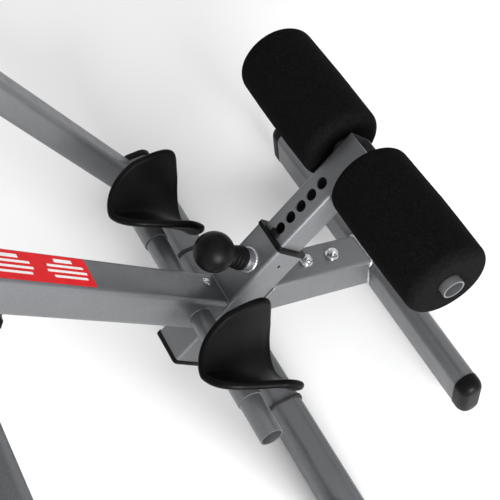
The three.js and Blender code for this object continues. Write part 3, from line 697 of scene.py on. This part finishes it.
# ---------- roller post, its tube and the foot bar ----------
def roller_post():
    at = sleeve_at @ shift(0, SLEEVE / 2, 0)
    post = build("roller_post_fine", box_tube(POST, POST, POST_EDGE, WALL, POST_BOTTOM, POST_TOP), at)
    drills = []
    for i in range(HOLE_COUNT):
        drill = lathe([(0, -40), (HOLE_RADIUS, -40), (HOLE_RADIUS, 0), (0, 0)], 40, False)
        drills.append(moved(drill, shift(0, 0, HOLE_FIRST + HOLE_PITCH * i) @ FORWARD.inverted()))
    wide = ROLLER_TUBE + GAP
    bore = lathe([(0, -60), (wide, -60), (wide, 60), (0, 60)], 64, False)
    drills.append(moved(bore, shift(0, 0, ROLLER_AT) @ ALONG_X))
    carved(post, (merged(*drills), at))
    stand_for(post, "roller_post")
    tube = round_tube(ROLLER_TUBE, 2, -ROLLER_TUBE_HALF, ROLLER_TUBE_HALF)
    fine = build("roller_tube_fine", tube, at @ shift(0, 0, ROLLER_AT) @ ALONG_X)
    stand_for(fine, "roller_tube")


def domed_cap(width, height, edge, start, end, plug, dome):
    """A moulded end cap: a lip, a straight side and a rounded end, with its plug inside the tube."""
    rings = [
        ring(width - 8, height - 8, edge - 4, start - plug, 8),
        ring(width - 8, height - 8, edge - 4, start, 8),
        ring(width, height, edge, start, 8),
    ]
    straight = end - start - dome
    rings.append(ring(width, height, edge, start + straight, 8))
    depth = min(width, height) * 0.32
    for k in range(1, 10):
        a = math.radians(10 * k)
        inset = depth * (1 - math.cos(a))
        size = (width - 2 * inset, height - 2 * inset, max(edge - inset * 0.6, 1))
        rings.append(ring(*size, start + straight + dome * math.sin(a), 8))
    rings.append(ring(width * 0.12, height * 0.12, edge * 0.1, end + 0.15, 8))
    return loft(rings)


def foot_bar():
    bar = box_tube(BAR_DEEP, BAR_TALL, BAR_DEEP / 2, WALL, -BAR_HALF, BAR_HALF, 14)
    stand_for(build("foot_bar_fine", bar, bar_at @ ALONG_X), "foot_bar")
    for side, turn in ENDS:
        size = (BAR_DEEP + 1.5, BAR_TALL + 1.5, BAR_DEEP / 2 + 0.7)
        cap = domed_cap(*size, BAR_HALF + GAP, BAR_HALF + BAR_CAP, 17, 13)
        node = "foot_bar_cap_" + side
        stand_for(build(node + "_fine", cap, bar_at @ turn, 50), node)


def floor_caps():
    for name, y, half in (("rear", REAR_Y, REAR_HALF), ("front", FRONT_Y, FRONT_HALF)):
        for side, turn in ENDS:
            cap = domed_cap(CAP, CAP, CAP_EDGE, half + GAP, half + CAP_LENGTH, 17, 6.5)
            node = name + "_cap_" + side
            at = ankle @ shift(0, y, FLOOR_Z) @ turn
            stand_for(build(node + "_fine", cap, at, 50), node)


# ---------- hub, handles and grips ----------
def hub():
    at = ankle @ shift(0, HUB_Y, HUB_Z)
    tube = round_tube(HUB_RADIUS, WALL, -HUB_HALF, HUB_HALF)
    stand_for(build("hub_tube_fine", tube, at @ ALONG_X), "hub_tube")
    for side, turn in ENDS:
        end = HUB_HALF + GAP
        profile = [(0, 396), (18, 396), (18, end), (22, end), (22, 415.5)]
        profile += [*arc(17, 416.5, 5, 0, 80, 6), (9, 422), (0, 422.3)]
        node = "hub_cap_" + side
        stand_for(build(node + "_fine", lathe(profile, 72, False), at @ turn), node)


def handle(side, sign):
    x = sign * HANDLE_X
    path = [Vector((x, HUB_Y - 19, HUB_Z)), Vector((x, HUB_Y - HANDLE_FORWARD + HANDLE_BEND, HUB_Z))]
    corner = Vector((x, HUB_Y - HANDLE_FORWARD, HUB_Z))
    above = corner + Vector((0, 0, HANDLE_BEND))
    for k in range(1, 17):
        t = k / 16
        path.append(path[1] * (1 - t) ** 2 + corner * 2 * t * (1 - t) + above * t * t)
    path.append(corner + Vector((0, 0, HANDLE_RISE)))
    node = "handle_" + side
    stand_for(build(node + "_fine", sweep(path, HANDLE_RADIUS, 40, False), ankle), node)
    low, high = HUB_Z + HANDLE_BEND + 12, HUB_Z + HANDLE_RISE
    bore, groove, flange = HANDLE_RADIUS + 0.8, GRIP - 0.9, GRIP + 2
    profile = [(bore, low), (flange, low), (flange, low + 4), (GRIP, low + 7)]
    z = low + 9
    while z < high - 8:
        profile += [(GRIP, z), (groove, z + 0.9), (groove, z + 2.1), (GRIP, z + 3)]
        z += 6
    profile += [(GRIP, high), *arc(GRIP - 5, high + 3, 5, 0, 84, 6)]
    profile += [(0, high + 8.1), (0, high + 0.4), (bore, high + 0.4)]
    at = ankle @ shift(x, HUB_Y - HANDLE_FORWARD, 0)
    node = "hand_grip_" + side
    stand_for(build(node + "_fine", lathe(profile, 72), at), node)


# ---------- bolts ----------
def hexagon(flats, start, end, bore=0.0):
    """A hexagon with chamfered corners along +Z, bored or closed."""

    def at_height(z, limit):
        points = []
        for k in range(72):
            a = TAU * k / 72
            r = flats / math.cos((a + math.pi / 6) % (math.pi / 3) - math.pi / 6)
            points.append((min(r, limit) * math.cos(a), min(r, limit) * math.sin(a), z))
        return points

    tight, full = flats * 1.015, flats * 1.2
    heights = ((start, tight), (start + 0.8, full), (end - 0.8, full), (end, tight))
    rings = [at_height(z, limit) for z, limit in heights]
    if not bore:
        return loft(rings)
    angles = [TAU * k / 72 for k in range(72)]
    for z in (end - 0.5, start):
        rings.append([(bore * math.cos(a), bore * math.sin(a), z) for a in angles])
    return loft(rings, loop=True)


def bolt(length):
    """Head, washers, nut and a threaded end, along +Z from under the head."""
    thread = []
    z = length + 0.5
    while z < length + 9.6:
        thread += [(3.45, z), (4.0, z + 0.5)]
        z += 1.0
    shank = [(0, -1), (4, -1), (4, length), *thread, (3.2, z + 0.4), (0, z + 0.4)]
    washer = lathe(fillet([(4.2, 0), (9, 0), (9, 1.5), (4.2, 1.5)], 0.35, 2), 64)
    return merged(
        lathe(shank, 40, False),
        hexagon(6.5, -7, -1.6),
        moved(washer, shift(0, 0, -1.5)),
        moved(washer, shift(0, 0, length)),
        hexagon(6.5, length + 1.5, length + 7.6, 4.05),
    )


def bolts():
    for i, z in enumerate(STEM_BOLTS):
        at = stem_at @ shift(0, STEM + GAP, z) @ FORWARD @ Matrix.Rotation(0.35 + 0.6 * i, 4, "Z")
        stand_for(build(f"stem_bolt_{i + 1}_fine", bolt(STEM + 2 * GAP), at, 25), f"stem_bolt_{i + 1}")
    for i, z in enumerate(RAIL_BOLTS):
        span = RAIL + 2 * PLATE + 4 * GAP
        at = boom_at @ shift(-span / 2, -BOOM / 2, z) @ ALONG_X @ Matrix.Rotation(0.2 + 0.5 * i, 4, "Z")
        stand_for(build(f"rail_bolt_{i + 1}_fine", bolt(span), at, 25), f"rail_bolt_{i + 1}")
    head = [(0, 0), (5.2, 0), (5.2, 0.8), *arc(2.2, 0.4, 3, 8, 80, 5), (0, 3.4)]
    at = boom_at @ shift(-8, 0.05, 19) @ FORWARD.inverted()
    washer = fillet([(0, 0), (6.4, 0), (6.4, 0.9), (0, 0.9)], 0.3, 2, False)
    screw = merged(lathe(washer, 40, False), lathe(head, 40, False))
    detail(build("boom_screw", screw, at), "boom", PAINT["zinc_steel"], "zinc_steel")


# ---------- weld beads ----------
def bead(name, path, at, body, radius=2.3, material=None):
    """A rippled line of weld along a closed path, painted over unless it has its own material."""
    points, step = resampled(path, 0.9)
    pitch = 3.4
    phase = random.random() * TAU
    radii = []
    for k in range(len(points)):
        s = k * step
        wave = math.sin(TAU * s / pitch + phase)
        slow = math.sin(s / 11 + phase)
        radii.append(radius * (1 + 0.13 * wave + 0.08 * slow))
    seam = build(name, sweep(points, radii, 10), at, 80)
    detail(seam, body, material or PAINT["silver_paint"], "silver_paint")


def circle(radius, x, y, z, axis):
    """Points round a circle about local X or Y."""
    points = []
    for k in range(48):
        a = TAU * k / 48
        c, s = radius * math.cos(a), radius * math.sin(a)
        points.append((x, y + c, z + s) if axis == "X" else (x + c, y, z + s))
    return points


def rounded_distance(a, b, half_a, half_b, edge):
    qa, qb = abs(a) - half_a + edge, abs(b) - half_b + edge
    return math.hypot(max(qa, 0), max(qb, 0)) + min(max(qa, qb), 0) - edge


def meeting(at, points, start, end, outside):
    """Where lines along +Z of a frame, through an outline's points, enter a surface."""
    found = []
    for x, y in points:
        lo, hi = start, end

        def place(z):
            return at @ (Vector((x, y, z)) * MM)

        if outside(place(hi)) > 0:
            continue
        for _ in range(26):
            middle = (lo + hi) / 2
            if outside(place(middle)) > 0:
                lo = middle
            else:
                hi = middle
        found.append((x, y, hi))
    return found


def local(at):
    inverse = at.inverted()
    return lambda p: (inverse @ p) / MM


def welds():
    in_sleeve, in_ankle, in_bar = local(sleeve_at), local(ankle), local(bar_at)
    square = lambda size, edge, y=0, x=0: [(a + x, b + y) for a, b in outline(size, size, edge, 5)]
    hub_gap = lambda p: math.hypot(in_ankle(p).y - HUB_Y, in_ankle(p).z - HUB_Z) - HUB_RADIUS

    def floor_gap(y):
        size = (FLOOR_TUBE / 2, FLOOR_TUBE / 2, FLOOR_EDGE)
        return lambda p: rounded_distance(in_ankle(p).y - y, in_ankle(p).z - FLOOR_Z, *size)

    def bar_gap(p):
        edge = BAR_DEEP / 2 - 0.1
        return rounded_distance(in_bar(p).z, in_bar(p).y, BAR_DEEP / 2, BAR_TALL / 2, edge)

    boom_end = meeting(boom_at, square(BOOM, BOOM_EDGE, -BOOM / 2), 60, -60, lambda p: -in_sleeve(p).y)
    bead("weld_boom_sleeve", boom_end, boom_at, "boom", 1.5)
    stem_section = square(STEM, STEM_EDGE, STEM / 2)
    stem_end = meeting(stem_at, stem_section, 70, -70, lambda p: in_sleeve(p).y - SLEEVE)
    bead("weld_stem_sleeve", stem_end, stem_at, "boom", 1.6)
    bar_end = meeting(stem_at, stem_section, 110, BAR_AT, bar_gap)
    bead("weld_stem_bar", bar_end, stem_at, "boom", 2.2, WELD)
    bead("weld_boss", circle(BOSS + 0.4, 0, -0.6, PIN_AT, "Y"), sleeve_at, "boom", 1.7, WELD)
    for side, sign in (("left", -1), ("right", 1)):
        cross = circle(CROSS_RADIUS + GAP, sign * 25.2, -BOOM / 2, CROSS_AT, "X")
        bead("weld_cross_" + side, cross, boom_at, "boom", 1.2)
        tube = circle(ROLLER_TUBE + 0.6, sign * 20.4, SLEEVE / 2, ROLLER_AT, "X")
        bead("weld_roller_" + side, tube, sleeve_at, "roller_post", 1.8)
        around_hub = circle(HUB_RADIUS + 0.8, sign * 27, HUB_Y, HUB_Z, "X")
        bead("weld_hub_" + side, around_hub, ankle, "frame", 2.2)
        leg = leg_at(sign)
        foot = meeting(leg, square(LEG, LEG_EDGE), 90, -25, floor_gap(REAR_Y))
        bead("weld_side_foot_" + side, foot, leg, "frame", 2.2)
        head = meeting(leg, square(LEG, LEG_EDGE), 660, 744, hub_gap)
        bead("weld_side_head_" + side, head, leg, "frame", 2.2)
        in_leg = local(leg)
        leg_gap = lambda p: rounded_distance(in_leg(p).x, in_leg(p).y, LEG / 2, LEG / 2, LEG_EDGE)
        beam_at = ankle @ shift(0, CROSSBAR_Y, CROSSBAR_Z) @ dict(ENDS)[side]
        beam = meeting(beam_at, square(LEG, LEG_EDGE), 250, 355, leg_gap)
        bead("weld_crossbar_" + side, beam, beam_at, "frame", 2.2)
        reach = math.hypot(FRONT_Y - HUB_Y, FLOOR_Z - HUB_Z)
        section = square(LEG, LEG_EDGE, 0, sign * FRONT_LEG_X)
        high = meeting(front_leg_at, section, 70, 2, hub_gap)
        bead("weld_front_head_" + side, high, front_leg_at, "frame", 2.2)
        low = meeting(front_leg_at, section, reach - 70, reach, floor_gap(FRONT_Y))
        bead("weld_front_foot_" + side, low, front_leg_at, "frame", 2.2)
    mast = meeting(mast_at, square(MAST, MAST_EDGE), 60, 0, hub_gap)
    bead("weld_mast", mast, mast_at, "frame", 2.2)
    post = [(x, y, HIP_TOP) for x, y in outline(HIP_POST, HIP_BAR, 4, 5)]
    bead("weld_hip_post", post, mast_at, "hip_carriage", 1.8)


# ---------- decal ----------
def plate(x0, x1, z0, z1, y, thick, edge=1.5):
    """A thin plate on the boom's top face, y its lower side."""
    points = outline(x1 - x0, z1 - z0, edge, 4)
    cx, cz = (x0 + x1) / 2, (z0 + z1) / 2
    return loft([[(cx + a, y + h, cz + b) for a, b in points] for h in (0, thick)])


def decal():
    """Plain red film with abstract white bars."""
    film = build("red_decal", plate(-20.5, 20.5, 206, 346, 0.03, 0.22, 2), boom_at)
    detail(film, "boom", PAINT["label_red"], "label_red")
    rows = [(-15.5, -10.5, 226, 250), (-7, -3.6, 214, 262), (0.6, 4, 212, 264), (8.2, 11.6, 214, 258)]
    rows += [(-15.5, -10.5, 296, 322), (-7, -3.6, 284, 332), (0.6, 4, 282, 334), (8.2, 11.6, 286, 330)]
    bars = merged(*[plate(a, b, c, d, 0.26, 0.08, 0.8) for a, b, c, d in rows])
    detail(build("decal_bars", bars, boom_at), "boom", BARS)


def collar_tab():
    """The clip of the plastic collar, standing in front of the post."""
    rings = [ring(13, 9, 2, 0), ring(13, 9, 2, 2.2), ring(11.6, 7.6, 1.6, 3)]
    at = sleeve_at @ shift(0, 4.8, 99) @ FORWARD
    tab = build("collar_tab", loft(rings), at)
    detail(tab, "boom", PAINT["black_plastic"], "black_plastic")


# ---------- hip pads ----------
def remeshed(obj, size):
    modifier = obj.modifiers.new("remesh", "REMESH")
    modifier.mode, modifier.voxel_size = "VOXEL", size
    mesh = bpy.data.meshes.new_from_object(obj.evaluated_get(bpy.context.evaluated_depsgraph_get()))
    obj.modifiers.clear()
    obj.data = mesh
    return obj


def swollen(obj, cap):
    """obj after 20 frames of cloth under inner pressure, no point moved further than cap."""
    before = np.array([v.co for v in obj.data.vertices], float)
    cloth = obj.modifiers.new("cloth", "CLOTH")
    cloth.settings.use_pressure = True
    cloth.settings.uniform_pressure_force = 4
    cloth.settings.effector_weights.gravity = 0
    cloth.settings.quality = 5
    cloth.collision_settings.use_collision = False
    cloth.point_cache.frame_start, cloth.point_cache.frame_end = 1, 20
    for number in range(1, 21):
        scene.frame_set(number)
    seen = obj.evaluated_get(bpy.context.evaluated_depsgraph_get())
    after = np.array([v.co for v in seen.data.vertices], float)
    obj.modifiers.clear()
    scene.frame_set(1)
    move = after - before
    length = np.linalg.norm(move, axis=1, keepdims=True)
    move *= np.minimum(1, cap / np.maximum(length, 1e-9))
    obj.data.vertices.foreach_set("co", (before + move).astype(np.float32).ravel())
    obj.data.update()
    return obj


def pad_rings():
    """The cushion before it swells: a flat underside, upright sides and a crowned top."""
    rings = []
    lower = ((0, 12), (0.2, 7), (3, 5), (16, 4), (32, 4), (43, 5))
    crown = ((49, 8.5), (53, 15), (55, 25), (56, 40), (56.4, 56))
    for z, inset in lower + crown:
        size = (PAD_WIDE - 2 * inset, PAD_LONG - 2 * inset)
        rings.append(ring(*size, max(PAD_EDGE - inset * 0.7, 4), z, 8))
    return loft(rings)


def hip_pads():
    floor = HIP_TOP + HIP_BAR + 2 * GAP + PAD_PLATE + GAP
    rest = mast_at @ shift(0, 0, floor)
    pad = remeshed(build("pad_start", pad_rings(), Matrix.Identity(4)), 0.005)
    swollen(pad, 0.008)
    shape = np.array([v.co for v in pad.data.vertices], float)
    shape[:, 2] = np.clip(shape[:, 2], 0, PAD_HIGHEST)
    faces = [tuple(p.vertices) for p in pad.data.polygons]
    tree = BVHTree.FromPolygons([tuple(v) for v in shape], faces)
    bpy.data.objects.remove(pad)

    def on_side(x, y, height):
        start = Vector((x, y, height)) * MM
        aim = Vector((-x, -y * 0.45, 0)) if abs(y) < 90 else Vector((-x * 0.5, -y, 0))
        aim.normalize()
        hit = tree.ray_cast(start - aim * 0.03, aim)[0]
        return (hit if hit else start) / MM

    def seam(height, out=0.6):
        loop = [on_side(x, y, height) for x, y in outline(PAD_WIDE, PAD_LONG, PAD_EDGE, 16)]
        points = resampled(loop, 4)[0]
        for _ in range(3):
            after = points[1:] + points[:1]
            points = [(points[i - 1] + p * 2 + after[i]) / 4 for i, p in enumerate(points)]
        return [p + Vector((p.x, p.y, 0)).normalized() * out for p in points]

    upper, lower = seam(46), seam(6)
    piping = merged(sweep(upper, 2.1, 12), sweep(lower, 2.1, 12))
    stitches = []
    for loop, height in ((upper, -4.2), (lower, 4.2)):
        line = [on_side(p.x, p.y, p.z + height) for p in resampled(loop, 1.6)[0]]
        for k in range(0, len(line) - 2, 3):
            a, b = line[k], line[k + 2]
            out = Vector(((a.x + b.x), (a.y + b.y), 0)).normalized()
            middle = (a + b) / 2 + out * 0.25
            if (b - a).length < 6:
                rise, fall = a.lerp(middle, 0.5) + out * 0.2, b.lerp(middle, 0.5) + out * 0.2
                stitches.append(sweep([a, rise, middle, fall, b], 0.45, 6, False))
    for side, sign in (("left", -1), ("right", 1)):
        at = rest @ shift(sign * PAD_X, 0, 0)
        verts = [tuple(v / MM) for v in shape]
        skin = build("hip_pad_" + side + "_fine", (verts, faces), at, 80)
        skin.modifiers.new("round", "SUBSURF").render_levels = 1
        stand_for(skin, "hip_pad_" + side)
        welt = build("hip_pad_piping_" + side, piping, at, 60)
        detail(welt, "hip_carriage", PAINT["vinyl_pad"], "vinyl_pad")
        thread = build("hip_pad_stitches_" + side, merged(*stitches), at, 60)
        detail(thread, "hip_carriage", THREAD)


for side, sign in (("left", -1), ("right", 1)):
    foam_roller(side, sign)
    heel_cup(side, sign)
    handle(side, sign)
cross_tube()
post_pin()
under_boom = boom_at @ shift(0, -BOOM, RAIL_PIN_AT) @ FORWARD
fluted_knob("boom_knob_fine", "boom_pin", under_boom, -(BOOM - RAIL) / 2 + 0.5)
before_mast = mast_at @ shift(0, -MAST / 2, MAST_PIN_AT) @ FORWARD
fluted_knob("mast_knob_fine", "mast_pin", before_mast, -(MAST - HIP_POST) / 2 + 0.5)
roller_post()
foot_bar()
floor_caps()
hub()
bolts()
welds()
decal()
collar_tab()
hip_pads()

# ---------- floor, light and camera ----------
def stage_floor():
    f = Finish("floor", (0.9, 0.9, 0.9), 0.6)
    f.set("Base Color", f.ramp(f.noise(3, 2), [(0.3, 0.89), (0.7, 0.905)]))
    f.value("Specular IOR Level", 0.2)
    size = 30
    mesh = bpy.data.meshes.new("floor")
    corners = [(-size, -size, 0), (size, -size, 0), (size, size, 0), (-size, size, 0)]
    mesh.from_pydata(corners, [], [(0, 1, 2, 3)])
    mesh.materials.append(f.material)
    floor = bpy.data.objects.new("floor", mesh)
    scene.collection.objects.link(floor)


def surroundings():
    world = bpy.data.worlds.new("studio")
    world.use_nodes = True
    tree = world.node_tree
    background = tree.nodes["Background"]
    coords = tree.nodes.new("ShaderNodeTexCoord")
    parts = tree.nodes.new("ShaderNodeSeparateXYZ")
    ramp = tree.nodes.new("ShaderNodeValToRGB")
    for element, (place, shade) in zip(ramp.color_ramp.elements, ((0.0, 1.0), (0.9, 0.82))):
        element.position, element.color = place, (shade, shade, shade * 1.01, 1)
    tree.links.new(coords.outputs["Generated"], parts.inputs[0])
    tree.links.new(parts.outputs["Z"], ramp.inputs["Fac"])
    tree.links.new(ramp.outputs["Color"], background.inputs["Color"])
    background.inputs["Strength"].default_value = 0.95
    scene.world = world


def soft_light(name, place, aim, size, power):
    light = bpy.data.lights.new(name, "AREA")
    light.shape, light.size, light.energy = "DISK", size, power
    lamp = bpy.data.objects.new(name, light)
    lamp.location = place
    lamp.rotation_mode = "QUATERNION"
    lamp.rotation_quaternion = (Vector(aim) - Vector(place)).to_track_quat("-Z", "Y")
    scene.collection.objects.link(lamp)


stage_floor()
surroundings()
soft_light("key", (3.1, 0.1, 1.0), (0, 0.3, 0.2), 1.5, 225)

camera = bpy.data.cameras.new("camera")
camera.sensor_width, camera.lens = 36, 74.0
camera.clip_start, camera.clip_end = 0.05, 100
eye = bpy.data.objects.new("camera", camera)
eye.location = (0.6265, 0.025, 1.1824)
eye.rotation_mode = "QUATERNION"
eye.rotation_quaternion = Vector((-0.5131, 0.2734, -0.8137)).to_track_quat("-Z", "Y")
scene.collection.objects.link(eye)
scene.camera = eye
scene.view_settings.view_transform = "Standard"
